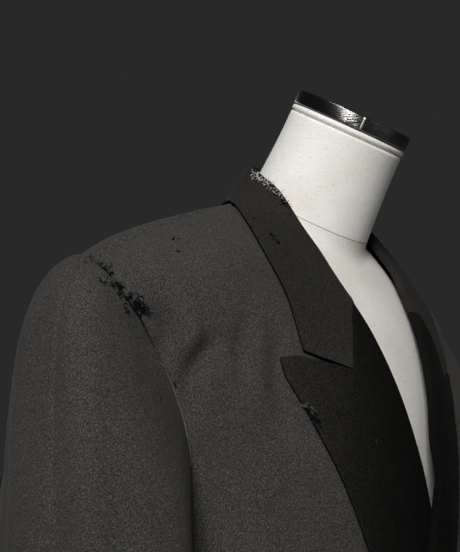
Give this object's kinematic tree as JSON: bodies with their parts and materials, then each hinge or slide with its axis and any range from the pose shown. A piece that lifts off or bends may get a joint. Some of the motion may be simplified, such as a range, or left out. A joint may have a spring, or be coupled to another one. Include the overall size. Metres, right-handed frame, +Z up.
{
  "type": "double-breasted blazer on a dress form",
  "caption": "Dark double-breasted blazer with peak lapels and full sleeves on a limbless dress form with a leaning neck, capped top and plain stand.",
  "frame": {"origin": "centre of the underside of the stand's base plate, on the floor", "axes": "+Z up; the blazer faces -Y; +X is the wearer's left"},
  "size_m": [0.594, 0.34, 0.9477],
  "materials": {
    "wool": "dark charcoal wool with a fine salt-and-pepper grain, matt",
    "button": "matt",
    "linen": "warm off-white linen with slubs, matt",
    "cap_steel": "brushed",
    "stand_metal": "satin"
  },
  "bodies": {
    "root": {"front_right": "wool", "front_left": "wool", "side_right": "wool", "side_left": "wool", "back_right": "wool", "back_left": "wool", "lapel_right": "wool", "lapel_left": "wool", "collar": "wool", "sleeve_top_right": "wool", "sleeve_top_left": "wool", "sleeve_under_right": "wool", "sleeve_under_left": "wool", "button_1": "button", "button_2": "button", "button_3": "button", "button_4": "button", "form_body": "linen", "neck_rim": "linen", "neck_cap": "cap_steel", "post": "stand_metal", "base": "stand_metal"}
  },
  "joints": []
}
